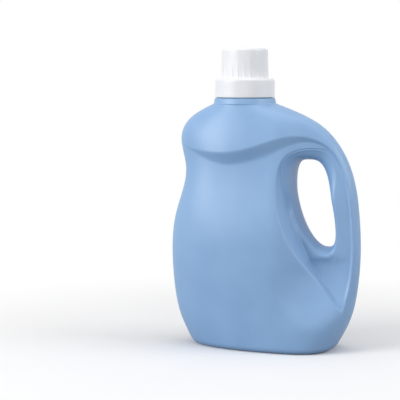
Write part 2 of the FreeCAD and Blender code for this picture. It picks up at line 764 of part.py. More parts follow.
def revolve(body, sketch, name, kind="PartDesign::Revolution"):
    feature = body.newObject(kind, name)
    feature.Profile = sketch
    feature.ReferenceAxis = (sketch, ["V_Axis"])
    feature.Angle = 360.0
    sketch.Visibility = False
    doc.recompute()
    return feature


def round_edges(body, base, name, radius, wanted):
    """Rounds the edges of a feature that the test picks out."""
    edges = ["Edge" + str(i + 1) for i, edge in enumerate(base.Shape.Edges) if wanted(edge)]
    rounding = body.newObject("PartDesign::Fillet", name)
    rounding.Base = (base, edges)
    rounding.setExpression("Radius", bind(radius))
    doc.recompute()
    return rounding


def is_ring(edge, radius, height):
    """Tells whether an edge is the full circle of a given radius at a given height."""
    box = edge.BoundBox
    middle = (box.ZMin + box.ZMax) / 2
    return (isinstance(edge.Curve, Part.Circle) and abs(edge.Curve.Radius - radius) < 0.01
            and abs(middle - height) < 0.01)


def build_neck():
    """Neck with its collar, as a tube that closes the crown."""
    body = new_body("neck_tube")
    sketch = section_sketch(body, "neck_section", [
        ("neck_bore_radius", "collar_bottom"),
        ("collar_radius", "collar_bottom"),
        ("collar_top_radius", "collar_top"),
        ("neck_radius", "collar_top"),
        ("neck_radius", "rim_height"),
        ("neck_bore_radius", "rim_height"),
    ])
    revolve(body, sketch, "neck_turned")
    return body


def build_bottle(neck):
    """The bottle: outer skin and neck, less the inner skin and the neck's bore."""
    skins = []
    for name, inset in (("outer_skin", 0.0), ("inner_skin", WALL)):
        skin = doc.addObject("Part::Feature", name)
        skin.Shape = BlownSkin(inset).solid()
        skins.append(skin)
    outside = doc.addObject("Part::MultiFuse", "bottle_outside")
    outside.Shapes = [skins[0], neck]
    bore = doc.addObject("Part::Cylinder", "neck_bore")
    bore.setExpression("Radius", bind("neck_bore_radius"))
    bore.setExpression("Height", bind("rim_height - brow_height"))
    bore.setExpression("Placement.Base.z", bind("brow_height + wall"))
    inside = doc.addObject("Part::MultiFuse", "bottle_inside")
    inside.Shapes = [skins[1], bore]
    bottle = doc.addObject("Part::Cut", "bottle")
    bottle.Base = outside
    bottle.Tool = inside
    doc.recompute()
    return bottle


def build_cap():
    """Dosing cap: ribbed cup, shoulder and skirt, in one piece and open downwards."""
    body = new_body("dosing_cap")
    sketch = section_sketch(body, "cap_section", [
        ("0", "cap_top - cap_top_wall"),
        ("tier_radius - tier_wall", "cap_top - cap_top_wall"),
        ("tier_radius - tier_wall", "shoulder_top - cap_shoulder_wall"),
        ("skirt_radius - skirt_wall", "shoulder_top - cap_shoulder_wall"),
        ("skirt_radius - skirt_wall", "cap_bottom"),
        ("skirt_radius", "cap_bottom"),
        ("skirt_radius", "shoulder_top"),
        ("tier_radius", "shoulder_top"),
        ("tier_radius", "cap_top"),
        ("0", "cap_top"),
    ])
    turned = revolve(body, sketch, "cap_turned")
    top = round_edges(body, turned, "cap_top_rounding", "cap_edge_radius",
                      lambda edge: is_ring(edge, size("tier_radius"), size("cap_top")))
    rounded = round_edges(body, top, "cap_shoulder_rounding", "shoulder_edge_radius",
                          lambda edge: is_ring(edge, size("skirt_radius"), size("shoulder_top")))
    rib_sketch = section_sketch(body, "rib_section", [
        ("tier_radius - tier_wall / 2", "shoulder_top - cap_shoulder_wall / 2"),
        ("tier_radius + rib_rise", "shoulder_top - cap_shoulder_wall / 2"),
        ("tier_radius + rib_rise", "shoulder_top + rib_rise"),
        ("tier_radius - tier_wall / 10", "shoulder_top + rib_length"),
        ("tier_radius - tier_wall / 2", "shoulder_top + rib_length"),
    ])
    rib = body.newObject("PartDesign::Pad", "rib")
    rib.Profile = rib_sketch
    rib.Midplane = True
    rib.setExpression("Length", bind("rib_width"))
    rib_sketch.Visibility = False
    doc.recompute()
    ribs = body.newObject("PartDesign::PolarPattern", "ribs")
    ribs.Originals = [rib]
    ribs.Axis = (sketch, ["V_Axis"])
    ribs.Angle = 360.0
    ribs.setExpression("Occurrences", bind("rib_count"))
    body.Tip = ribs
    doc.recompute()
    return body


def build_seal():
    """Soft ring held under the cap's shoulder, resting on the spout's flange."""
    body = new_body("seal_ring")
    sketch = section_sketch(body, "seal_section", [
        ("seal_inner_radius", "rim_height + flange_thickness"),
        ("skirt_radius - skirt_wall - seal_side_gap", "rim_height + flange_thickness"),
        ("skirt_radius - skirt_wall - seal_side_gap", "rim_height + flange_thickness + seal_thickness"),
        ("seal_inner_radius", "rim_height + flange_thickness + seal_thickness"),
    ])
    revolve(body, sketch, "seal_turned")
    return body


def build_spout():
    """Drain-back spout: flange on the rim, plug in the bore, trough floor with a drain, slant-cut spout."""
    body = new_body("pour_spout")
    plug = "neck_bore_radius - plug_gap"
    floor = "rim_height - plug_length"
    sketch = section_sketch(body, "spout_section", [
        ("spout_radius - spout_wall", floor),
        (plug, floor),
        (plug, "rim_height"),
        ("flange_radius", "rim_height"),
        ("flange_radius", "rim_height + flange_thickness"),
        (plug + " - plug_wall", "rim_height + flange_thickness"),
        (plug + " - plug_wall", floor + " + trough_thickness"),
        ("spout_radius", floor + " + trough_thickness"),
        ("spout_radius", "spout_top"),
        ("spout_radius - spout_wall", "spout_top"),
    ])
    revolve(body, sketch, "spout_turned")
    cut_sketch = section_sketch(body, "spout_cut_section", [
        ("0 - spout_radius - spout_wall", "spout_top - spout_cut"),
        ("spout_radius + spout_wall", "spout_top - spout_wall"),
        ("spout_radius + spout_wall", "spout_top + spout_wall"),
        ("0 - spout_radius - spout_wall", "spout_top + spout_wall"),
    ])
    cut = body.newObject("PartDesign::Pocket", "spout_slant")
    cut.Profile = cut_sketch
    cut.Type = 1
    cut.Midplane = True
    cut_sketch.Visibility = False
    drain_sketch = body.newObject("Sketcher::SketchObject", "drain_section")
    drain_sketch.AttachmentSupport = (origin_plane(body, "XY_Plane"), [""])
    drain_sketch.MapMode = "FlatFace"
    drain_sketch.setExpression("AttachmentOffset.Base.z", bind(floor + " + trough_thickness"))
    middle = FreeCAD.Vector(size("drain_out"), 0, 0)
    drain_sketch.addGeometry(Part.Circle(middle, FreeCAD.Vector(0, 0, 1), size("drain_radius")), False)
    drain_sketch.addConstraint(Sketcher.Constraint("PointOnObject", 0, 3, -1))
    drain_sketch.addConstraint(Sketcher.Constraint("DistanceX", -1, 1, 0, 3, middle.x))
    drain_sketch.setExpression("Constraints[1]", bind("drain_out"))
    drain_sketch.addConstraint(Sketcher.Constraint("Radius", 0, size("drain_radius")))
    drain_sketch.setExpression("Constraints[2]", bind("drain_radius"))
    doc.recompute()
    drain = body.newObject("PartDesign::Pocket", "drain")
    drain.Profile = drain_sketch
    drain.Type = 1
    drain_sketch.Visibility = False
    doc.recompute()
    return body


def centre_on_body(piece):
    """Moves a piece from the neck's axis to the middle of the body's length."""
    piece.setExpression("Placement.Base.x", bind("belly_left / 2 - belly_right / 2"))


pieces = [build_bottle(build_neck()), build_cap(), build_seal(), build_spout()]
for piece in pieces:
    centre_on_body(piece)
doc.recompute()

for item in doc.Objects:
    if "Invalid" in item.State or "Error" in item.State:
        raise RuntimeError("failed object: " + item.Label)
for piece in pieces:
    if piece.Shape.isNull() or not piece.Shape.isValid():
        raise RuntimeError("bad shape: " + piece.Label)

os.makedirs("parts", exist_ok=True)
for piece in pieces:
    piece.Shape.exportStep("parts/" + piece.Label + ".step")
    print(piece.Label, round(piece.Shape.Volume), "mm3", len(piece.Shape.Solids), piece.Shape.BoundBox)
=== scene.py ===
import bmesh
import bpy
import numpy as np
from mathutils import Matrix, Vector


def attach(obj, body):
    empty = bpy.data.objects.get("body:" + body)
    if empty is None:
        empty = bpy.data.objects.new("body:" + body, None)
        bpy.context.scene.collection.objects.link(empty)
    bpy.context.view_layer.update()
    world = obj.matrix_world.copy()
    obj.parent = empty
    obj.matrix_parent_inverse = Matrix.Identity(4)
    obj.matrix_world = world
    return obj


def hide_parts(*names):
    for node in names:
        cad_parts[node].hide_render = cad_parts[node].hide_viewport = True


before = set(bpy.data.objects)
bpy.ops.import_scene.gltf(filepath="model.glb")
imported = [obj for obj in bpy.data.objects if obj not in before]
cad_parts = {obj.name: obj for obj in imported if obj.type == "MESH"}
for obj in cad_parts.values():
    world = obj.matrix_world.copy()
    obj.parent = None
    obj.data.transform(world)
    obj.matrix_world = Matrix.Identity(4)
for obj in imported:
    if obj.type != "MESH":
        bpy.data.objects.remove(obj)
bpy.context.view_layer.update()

# Laundry detergent bottle: satin blue blown body with a handle, natural spout insert, pale seal
# and a white dosing cap. Lengths are millimetres until a mesh is made, then metres.

MM = 0.001
NECK_X = -22.3

# The body's outline: heights, with the reach to the left and right of the neck, the half depth, and
# where the section's two halves meet.
HEIGHTS = (0, 30, 60, 100, 140, 190, 220, 235, 247, 255.5)
LEFT_REACHES = (56, 71.2, 77.8, 80.2, 75.4, 64, 69.2, 63.6, 49, 31.5)
RIGHT_REACHES = (96.6, 112.8, 121, 124.8, 123.3, 113.6, 96.2, 79.3, 55, 31.5)
HALF_DEPTHS = (42, 44, 46, 48, 48, 46, 42.5, 38.5, 34.5, 31.5)
SECTION_CENTRES = (52, 48, 41, 25, 10, 3, 1.5, 0.8, 0.2, 0)
BELLY, FLANK, WAIST = HEIGHTS[3:6]
CROWN = HEIGHTS[-1]
LEFT_FULLNESS = 2.05
RIGHT_FULLNESS = 2.5
# The skin lies this far inside the outline, so that it never stands outside the solid.
SKIN_SETBACK = 0.17
# A section angle whose sine is smaller than this lies on the middle plane.
SMALL_SINE = 1e-6

# Handle and finger hole. The hull thins to the handle from the grip's start outwards and upwards.
HANDLE_HALF_DEPTH = 13
HANDLE_ROUNDING = 9
GRIP_START = 40
GRIP_RUN = 60
GRIP_LOW = 22
GRIP_RISE = 65
HOLE_MIDDLE = 70.7
HOLE_LEAN = 19.4
HOLE_LEAN_BEND = 1.7
HOLE_WIDTH = 38
HOLE_TAPER = 0.08
HOLE_TOP = 198
HOLE_LENGTH = 89.8
HOLE_TOP_FULLNESS = 2.8
HOLE_BOTTOM_FULLNESS = 2.4

# Ledge under the dome, and the ridge that it becomes on the handle.
LEDGE_START = 213.5
LEDGE_TIP_WIDTH = 1.5
LEDGE_DROP = 7
LEDGE_WIDTH = 12
LEDGE_INSET = 8.5
RIDGE_WIDTH = 2.5
RIDGE_INSET = 2.2
BAND_WIDTH = 5.5
ARCH_OUT = 58
ARCH_HEIGHT = 222.6
KNEE_OUT = 93
KNEE_HEIGHT = 211.8
HEEL = 41.7
RIDGE_FADE_TOP = 60
PANEL_FADE_HEIGHT = 110

# Recess round the finger hole.
RECESS_CREST = (74, 211)
RECESS_BROW = (54, 204.5)
RECESS_LEFT = (45, 172)
RECESS_LOW = (67.6, 97)
RECESS_DEPTH = 15
RECESS_WALL = 9.5
RECESS_STEP_RUN = 20
RIM_ROUNDING = 6
RIM_FOOT_ROUNDING = 10
RIM_SIDE_ROUNDING = 2.5
RIM_SIDE_TURN = 35
NARROW_RUN = 12
GRIP_TILT = 0.25
GRIP_WALL_SHARE = 0.15
FACET_TOP = 99
FACET_RUN = 6
FACET_TILT = 0.06
BROW_ROUNDING_SHARE = 0.8
BROW_WALL_SHARE = 0.12
BROW_RIM_SHARE = 0.9
BROW_FLOOR_SHARE = 0.94
BROW_TURN = 55
WALL_SOFTNESS = 0.25
WALL_ROOM = 0.6
# The wall has a row of points at each of these shares of its width.
WALL_CLIMB = (0, 0.12, 0.3, 0.5, 0.7, 0.88, 1)
# The rounding under the hole begins where the cosine of the turn falls below minus this.
UNDER_START = 1 / 3
# The outline's top gives way to its left side at this share of the way from the brow to the left point.
OUTLINE_TURN = 0.75
# Shares of a turn round the hole's rim that face the knee, the outline's turn and the heel.
RIM_KNEE = -0.10
RIM_TURN = 0.13
RIM_HEEL = 0.56

# Foot: inset and height from the heel down to the push-up under the base.
BASE_EDGE_RADIUS = 6
RING_WIDTH = 6
PUSH_UP_SLOPE = 5
PUSH_UP_RISE = 3
FOOT_EASE_WIDTH = 0.6
FOOT_EASE_RISE = 0.15
# Shares of the push-up's half depth at the rows that close it to the middle plane.
BASE_NARROWING = (0.7, 0.35, 0.0)

# Neck with its collar.
NECK_RADIUS = 28
BORE_RADIUS = 26.4
RIM_HEIGHT = 277
# The bore ends in a closed floor out of sight, with an edge of this radius.
THROAT_HEIGHT = 249.5
THROAT_RADIUS = 14
COLLAR_FOOT = 254.6
COLLAR_TOP = 261

# Thread of neck and cap: each crest stands in the middle of the other's gap.
THREAD_LEAD = 10
THREAD_SPACING = 5
THREAD_HALF_WIDTH = 1.35
THREAD_FLANK = 0.75
THREAD_RUN_OUT = 1.5
NECK_THREAD_RISE = 1.3
NECK_THREAD_ENDS = (262.2, 275.2)
CAP_THREAD_RISE = 1.1
CAP_THREAD_ENDS = (262.6, 278.2)

# Dosing cap.
CAP_TOP = 312.6
CAP_TOP_DISH = 0.5
CAP_TOP_WALL = 1.5
CAP_EDGE_RADIUS = 3
CAP_BOTTOM = 261.6
TIER_RADIUS = 24
TIER_WALL = 1.5
SHOULDER_TOP = 281
SHOULDER_EDGE_RADIUS = 2.2
SHOULDER_WALL = 1.8
SKIRT_RADIUS = 31.05
SKIRT_BORE_RADIUS = 29.65
CAP_RIBS = 24
CAP_RIB_RISE = 0.45
CAP_RIB_HALF_WIDTH = 0.95
CAP_RIB_FLANK = 0.55
CAP_RIB_TOP = 301
CAP_RIB_FADE_LENGTH = 20
CAP_RIB_FADE_POWER = 0.8
# Columns of points about each rib, in millimetres round the cup from the rib's middle.
CAP_RIB_COLUMNS = (-1.6, -0.95, -0.62, -0.4, 0.0, 0.4, 0.62, 0.95, 1.6, 3.14)
# Rows of the cap's profile: down the cup's side, down the skirt, up the skirt's bore, and all from the
# middle of the top to the start of the shoulder's rounding.
TIER_ROWS = 12
SKIRT_ROWS = 8
SKIRT_BORE_ROWS = 24
CUP_ROWS = 29


# Smooth functions

def ease(share):
    """Smooth step: three squares of the share less two cubes, held between 0 and 1."""
    share = np.clip(share, 0, 1)
    return share * share * (3 - 2 * share)


def lerp(first, second, share):
    return first + (second - first) * share


def spline_through(knots, values):
    """Natural cubic spline: a chord between each two knots, plus bends that keep its curvature even."""
    knots = np.asarray(knots, float)
    values = np.asarray(values, float)
    gaps = np.diff(knots)
    count = len(knots)
    inner = np.arange(1, count - 1)
    system = np.eye(count)
    system[inner, inner - 1] = gaps[:-1]
    system[inner, inner] = 2 * (gaps[:-1] + gaps[1:])
    system[inner, inner + 1] = gaps[1:]
    load = np.zeros(count)
    load[1:-1] = 6 * np.diff(np.diff(values) / gaps)
    bends = np.linalg.solve(system, load)

    def at(place):
        place = np.clip(place, knots[0], knots[-1])
        i = np.clip(np.searchsorted(knots, place) - 1, 0, count - 2)
        high = (place - knots[i]) / gaps[i]
        low = 1 - high
        bend = (low ** 3 - low) * bends[i] + (high ** 3 - high) * bends[i + 1]
        return low * values[i] + high * values[i + 1] + gaps[i] ** 2 / 6 * bend

    return at


def line_through(places):
    """Smooth line through places: a spline of each coordinate over the distance run along them."""
    places = np.asarray(places, float)
    steps = np.linalg.norm(np.diff(places, axis=0), axis=1)
    marks = np.concatenate([[0], np.cumsum(steps)])
    outs = spline_through(marks, places[:, 0])
    heights = spline_through(marks, places[:, 1])
    return lambda run: np.stack([outs(run), heights(run)], axis=-1), marks


def shifted(places, distances):
    """Moves each place of a line along the normal on its right-hand side."""
    along = np.zeros_like(places)
    along[1:-1] = places[2:] - places[:-2]
    along[0] = places[1] - places[0]
    along[-1] = places[-1] - places[-2]
    along /= np.linalg.norm(along, axis=1, keepdims=True)
    normal = np.stack([along[:, 1], -along[:, 0]], axis=1)
    return places + normal * np.reshape(distances, (-1, 1))


left_reach = spline_through(HEIGHTS, LEFT_REACHES)
right_reach = spline_through(HEIGHTS, RIGHT_REACHES)
half_depth = spline_through(HEIGHTS, HALF_DEPTHS)
section_centre = spline_through(HEIGHTS, SECTION_CENTRES)


# The plain hull

def out_at(angle, height, inset=SKIN_SETBACK):
    """Distance right of the neck: the section's centre less its reach times the angle's cosine."""
    centre = section_centre(height)
    left = left_reach(height) + centre - inset
    right = right_reach(height) - centre - inset
    return centre - np.where(angle < np.pi / 2, left, right) * np.cos(angle)


def angle_at(out, height, inset=SKIN_SETBACK):
    """Section angle of a distance right of the neck: 0 at the left end and pi at the right end."""
    centre = section_centre(height)
    left = left_reach(height) + centre - inset
    right = right_reach(height) - centre - inset
    return np.arccos(np.clip((centre - out) / np.where(out < centre, left, right), -1, 1))


def hull_depth(out, height, inset=SKIN_SETBACK):
    """Half depth of the hull: two half superellipses, thinned to a rounded handle on the right."""
    centre = section_centre(height)
    rise = 1 - height / CROWN
    on_left = out < centre
    reach = np.where(on_left, left_reach(height) + centre - inset, right_reach(height) - centre - inset)
    share = np.clip(np.abs(out - centre) / reach, 0, 1)
    power = 2 + (np.where(on_left, LEFT_FULLNESS, RIGHT_FULLNESS) - 2) * rise
    depth = (half_depth(height) - inset) * (1 - share ** power) ** (1 / power)
    edge = np.clip(1 - (right_reach(height) - inset - out) / HANDLE_ROUNDING, 0, 1)
    handle = (HANDLE_HALF_DEPTH - inset) * np.sqrt(1 - edge * edge)
    thinning = ease((out - GRIP_START) / GRIP_RUN) * ease((height - GRIP_LOW) / GRIP_RISE)
    return lerp(depth, np.minimum(handle, depth), thinning)


def turned(places):
    """Places (out, height) as pairs of section angle and height."""
    return np.stack([angle_at(places[..., 0], places[..., 1]), places[..., 1]], axis=-1)


def lifted(pairs, setback=None):
    """Points on the front of the hull at pairs of section angle and height, less a setback in depth."""
    outs = out_at(pairs[..., 0], pairs[..., 1])
    depths = hull_depth(outs, pairs[..., 1])
    if setback is not None:
        depths = depths - setback(outs, pairs[..., 1])
    at_side = np.sin(pairs[..., 0]) < SMALL_SINE
    depths = np.where(at_side, 0, np.maximum(depths, 0))
    return np.stack([outs, -depths, pairs[..., 1]], axis=-1)


def hull_path(start, end, shares):
    """Pairs between two pairs of section angle and height, mixed by the shares."""
    return lerp(start, end, shares[:, None])


def patch(bottom, top, left, right, across, upward):
    """Fills four borders: the mix of bottom and top, plus that of left and right, less that of corners."""
    u = across[None, :, None]
    v = upward[:, None, None]
    rows = lerp(bottom[None], top[None], v)
    columns = lerp(left[:, None], right[:, None], u)
    corners = lerp(lerp(bottom[0], bottom[-1], u), lerp(top[0], top[-1], u), v)
    return rows + columns - corners


def crowded(count, start, end):
    """Shares from 0 to 1 whose steps grow evenly from the start's size to the end's size."""
    steps = np.linspace(start, end, count - 1)
    marks = np.concatenate([[0], np.cumsum(steps)])
    return marks / marks[-1]


def even_along(xs, ys, shares):
    """The xs at even distances along a line of xs and ys, spaced by the shares."""
    run = np.concatenate([[0], np.cumsum(np.hypot(np.diff(xs), np.diff(ys)))])
    return np.interp(shares * run[-1], run, xs)


# Lines of the body, with the number of points along each and of rows between them

LEDGE_COLUMNS = 44
ARCH_COLUMNS = 26
RIDGE_COLUMNS = 56
SIDE_COLUMNS = 50
DOME_ROWS = 20
# The dome's rows grow by this factor from the ledge to the crown.
DOME_ROW_GROWTH = 3.2
LINTEL_ROWS = 8
WALL_ROWS = 4
FLOOR_ROWS = 9
RIM_ROWS = 9
NECK_ROW_STEP = 0.9
# Points on a line that is measured before it is divided.
FINE_POINTS = 400
FINE_POINTS_EACH = 40


def even_in_angle(line, first, last, count):
    """Places on a line between two of its marks, spread evenly in section angle."""
    runs = np.linspace(first, last, FINE_POINTS_EACH * count)
    angles = turned(line(runs))[:, 0]
    return line(np.interp(np.linspace(angles[0], angles[-1], count), angles, runs))


def dome_edge():
    """Lower edge of the dome, over the belly and the arch, then down along the handle."""
    low = LEDGE_START - LEDGE_DROP
    places = [
        (SKIN_SETBACK - left_reach(LEDGE_START), LEDGE_START),
        (-left_reach(WAIST) / 2, low),
        (0, low),
        (ARCH_OUT / 2, (low + ARCH_HEIGHT) / 2),
        (ARCH_OUT, ARCH_HEIGHT),
        (KNEE_OUT, KNEE_HEIGHT),
    ]
    places += [(right_reach(height) - BAND_WIDTH, height) for height in (WAIST, FLANK, BELLY, HEEL)]
    line, marks = line_through(places)
    ledge = even_in_angle(line, marks[0], marks[3], LEDGE_COLUMNS)
    arch = even_in_angle(line, marks[3], marks[5], ARCH_COLUMNS)
    ridge = line(np.linspace(marks[5], marks[-1], RIDGE_COLUMNS))
    return ledge, arch, ridge


def ledge_size(outs, full, ridge):
    """Size of the ledge: it grows from the left end to the neck's axis, then narrows to the ridge."""
    start = -left_reach(LEDGE_START)
    growth = ease((outs - start) / -start)
    narrowing = ease((outs - ARCH_OUT / 2) / (KNEE_OUT - ARCH_OUT / 2))
    return lerp(full * growth, ridge, narrowing)


def ridge_fade(heights):
    """The ridge runs out over its last stretch above the heel."""
    return ease((heights - HEEL) / (RIDGE_FADE_TOP - HEEL))


def ledge_foot(ledge, arch, ridge):
    """Foot of the ledge and the ridge: their upper edge, moved down by the ledge's width."""
    whole = np.concatenate([ledge, arch[1:], ridge[1:]])
    widths = np.maximum(ledge_size(whole[:, 0], LEDGE_WIDTH, RIDGE_WIDTH), LEDGE_TIP_WIDTH)
    widths = widths * ridge_fade(whole[:, 1])
    lows = shifted(whole, widths)
    count = len(ledge)
    heights = ledge[:, 1] - widths[:count]
    dropped = np.stack([out_at(turned(ledge)[:, 0], heights), heights], axis=1)
    share = np.linspace(0, 1, count)[:, None]
    lows[:count] = lerp(dropped, lows[:count], share * share)
    knee = count + len(arch) - 2
    return lows[:count], lows[count - 1:knee + 1], lows[knee:]


def recess_outline(knee, heel):
    """Outline of the recess, from the knee over its crest and down its left side to the heel."""
    places = [knee, RECESS_CREST, RECESS_BROW, RECESS_LEFT, RECESS_LOW, heel]
    line, marks = line_through(places)
    turn = lerp(marks[2], marks[3], OUTLINE_TURN)
    top = line(np.linspace(0, turn, ARCH_COLUMNS))
    left = line(np.linspace(turn, marks[-1], SIDE_COLUMNS))
    return top, left


def hole_middle(heights):
    """Middle of the finger hole at a height: it leans to the right as it goes down."""
    down = np.clip((HOLE_TOP - heights) / HOLE_LENGTH, 0, 1)
    return HOLE_MIDDLE + HOLE_LEAN * down ** HOLE_LEAN_BEND


def hole_rim(shares):
    """Finger hole: a superellipse, squarer at the top, whose middle leans and whose width tapers.

    The share of a turn is 0 at the top and grows towards the neck.
    """
    turn = 2 * np.pi * shares
    power = 2 / lerp(HOLE_BOTTOM_FULLNESS, HOLE_TOP_FULLNESS, (1 + np.cos(turn)) / 2)
    across = -np.sign(np.sin(turn)) * np.abs(np.sin(turn)) ** power
    upward = np.sign(np.cos(turn)) * np.abs(np.cos(turn)) ** power
    height = HOLE_TOP - HOLE_LENGTH / 2 * (1 - upward)
    width = HOLE_WIDTH / 2 * (1 + HOLE_TAPER * upward)
    return np.stack([hole_middle(height) + width * across, height], axis=-1)


# Patches of the body's front half

def recess_floor(places, ridge):
    """Depth of the recess: even on the left, a tilted grip on the right, one facet under the hole."""
    outs, heights = places[..., 0], places[..., 1]
    ridge_out = np.interp(-heights, -ridge[:, 2], ridge[:, 0])
    ridge_depth = np.interp(-heights, -ridge[:, 2], -ridge[:, 1])
    grip = ridge_depth + GRIP_TILT * (ridge_out - outs)
    side = lerp(RECESS_DEPTH, grip, ease((outs - hole_middle(heights)) / RECESS_STEP_RUN + 0.5))
    facet = ridge_depth + FACET_TILT * (ridge_out - outs)
    return lerp(side, facet, ease((FACET_TOP - heights) / FACET_RUN))


def recess_ring(outline, tops, ridge, first, last):
    """Recess: part of an ellipse from the hole's rim, the floor, then the wall up to the outline.

    Over the hole the ellipse is nearly the whole slope, and where the outline runs close to the hole,
    one straight slope takes the place of floor and wall.
    """
    shares = np.linspace(first, last, len(outline))
    rim = hole_rim(shares)
    run = np.linalg.norm(outline - rim, axis=1)
    turn = 2 * np.pi * shares
    to_handle = ease(0.5 - np.sin(turn) / 2)
    over = ease(np.cos(turn))
    under = ease((-np.cos(turn) - UNDER_START) / (1 - UNDER_START))
    roomy = np.maximum(ease((run - NARROW_RUN) / NARROW_RUN), to_handle)
    reach = lerp(lerp(RIM_SIDE_ROUNDING, RIM_ROUNDING, roomy), RIM_FOOT_ROUNDING, under)
    wall = np.minimum(RECESS_WALL * lerp(1, GRIP_WALL_SHARE, to_handle), WALL_ROOM * (run - reach))
    end = np.radians(lerp(lerp(RIM_SIDE_TURN, 90, roomy), BROW_TURN, over))[:, None]
    reach = lerp(reach, BROW_ROUNDING_SHARE * run, over)[:, None]
    wall = lerp(wall, BROW_WALL_SHARE * run, over)[:, None]
    run, over, roomy, to_handle, tops = [values[:, None] for values in (run, over, roomy, to_handle, tops)]

    def place_at(distance):
        return lerp(rim[:, None], outline[:, None], (distance / run)[..., None])

    def floor_at(distance, brow_share):
        floor = recess_floor(place_at(distance), ridge)
        return lerp(lerp(np.minimum(floor, tops), floor, to_handle), brow_share * tops, over)

    angle = end * np.linspace(0, 1, RIM_ROWS)
    rim_depth = floor_at(reach, BROW_RIM_SHARE)
    climb = np.array(WALL_CLIMB)[None, :]
    level = np.linspace(0, 1, FLOOR_ROWS + 1)[None, 1:-1]
    rest = np.concatenate([lerp(reach, run - wall, level), run - wall * (1 - climb)], axis=1)
    climb = np.concatenate([0 * level, lerp(climb, ease(climb), WALL_SOFTNESS)], axis=1)
    stepped = lerp(floor_at(np.minimum(rest, run - wall), BROW_FLOOR_SHARE), tops, climb)
    straight = lerp(rim_depth, tops, (rest - reach) / (run - reach))
    distance = np.concatenate([reach * (1 - np.cos(angle)) / (1 - np.cos(end)), rest], axis=1)
    depth = np.concatenate([rim_depth * np.sin(angle) / np.sin(end),
                            lerp(straight, stepped, np.maximum(roomy, over))], axis=1)
    places = place_at(distance)
    return np.concatenate([places[..., :1], -depth[..., None], places[..., 1:]], axis=-1)


def foot_profile():
    """Insets and heights down the foot, round the base's edge, over the standing ring to the push-up."""
    ring = BASE_EDGE_RADIUS + RING_WIDTH
    slope = ring + PUSH_UP_SLOPE
    quarter = np.linspace(0, np.pi / 2, 7)
    side = np.linspace(HEEL, BASE_EDGE_RADIUS, 11)[:-1]
    edge = BASE_EDGE_RADIUS
    width, rise = FOOT_EASE_WIDTH, FOOT_EASE_RISE
    insets = np.concatenate([0 * side, edge * (1 - np.cos(quarter)),
                             (lerp(edge, ring, 0.5), ring - width, ring + width, lerp(ring, slope, 0.5),
                              slope - width, slope + width, slope + edge)])
    heights = np.concatenate([side, edge * (1 - np.sin(quarter)),
                              (0, 0, rise, PUSH_UP_RISE / 2, PUSH_UP_RISE - rise, PUSH_UP_RISE,
                               PUSH_UP_RISE)])
    return insets + SKIN_SETBACK, heights


def foot_rows(heel_angles):
    """The foot under the heel line, then the flat middle of the base, closed to the middle plane."""
    insets, heights = foot_profile()
    angles = heel_angles[None, :] + 0 * insets[:, None]
    insets = insets[:, None]
    heights = heights[:, None] + 0 * angles
    outs = out_at(angles, heights, insets)
    depths = np.where(np.sin(angles) < SMALL_SINE, 0, hull_depth(outs, heights, insets))
    rows = np.stack([outs, -depths, heights], axis=-1)
    narrowing = np.array(BASE_NARROWING)[:, None, None] * (0, 1, 0) + (1, 0, 1)
    return np.concatenate([rows, rows[-1:] * narrowing])


def neck_profile():
    """Radii and heights up the collar and the neck's side, over the rim, and down the bore to its end."""
    side = np.arange(COLLAR_TOP + 1, RIM_HEIGHT - 1.4, NECK_ROW_STEP)
    radii = np.concatenate([
        NECK_RADIUS + np.array((4.75, 4.5, 4.3, 4.0, 3.6, 3.3, 2.9, 1.0, 0.15)),
        0 * side + NECK_RADIUS,
        NECK_RADIUS - np.array((0, 0.1, 0.5)), BORE_RADIUS + np.array((0.5, 0.1, 0, 0, 0)),
        (THROAT_RADIUS, 0),
    ])
    heights = np.concatenate([
        COLLAR_TOP - np.array((6.0, 5.4, 4.4, 2.8, 1.4, 0.4, 0.05, 0, -0.15)),
        side,
        RIM_HEIGHT - np.array((0.8, 0.2, 0, 0, 0.2, 0.8, 11)), THROAT_HEIGHT + np.array((0.5, 0, 0)),
    ])
    return radii, heights


def thread_rise(angles, heights, ends, rise, offset=0):
    """Two-start thread: a rounded crest each half lead along the helix, run out at its ends."""
    low, high = ends
    helix = heights - offset - THREAD_LEAD * angles / (2 * np.pi)
    away = np.abs((helix / THREAD_SPACING + 0.5) % 1 - 0.5) * THREAD_SPACING
    crest = ease((THREAD_HALF_WIDTH - away) / THREAD_FLANK)
    return rise * crest * ease((heights - low) / THREAD_RUN_OUT) * ease((high - heights) / THREAD_RUN_OUT)


def neck_rows(crown):
    """The neck's turned profile carried round the crown's ring of points, with the thread's rise."""
    radii, heights = neck_profile()
    angles = np.arctan2(crown[:, 1], crown[:, 0])
    heights = heights[:, None] + 0 * angles[None, :]
    radii = radii[:, None]
    rise = thread_rise(angles[None, :], heights, NECK_THREAD_ENDS, NECK_THREAD_RISE)
    radii = radii + np.where(radii >= NECK_RADIUS, rise, 0)
    rows = np.stack([radii * np.cos(angles), radii * np.sin(angles), heights], axis=-1)
    rows[:, np.abs(np.sin(angles)) < SMALL_SINE, 1] = 0
    return np.concatenate([crown[None], rows])


def side_pairs(angle, heights):
    """Pairs straight up one section angle."""
    return np.stack([angle + 0 * heights, heights], axis=-1)


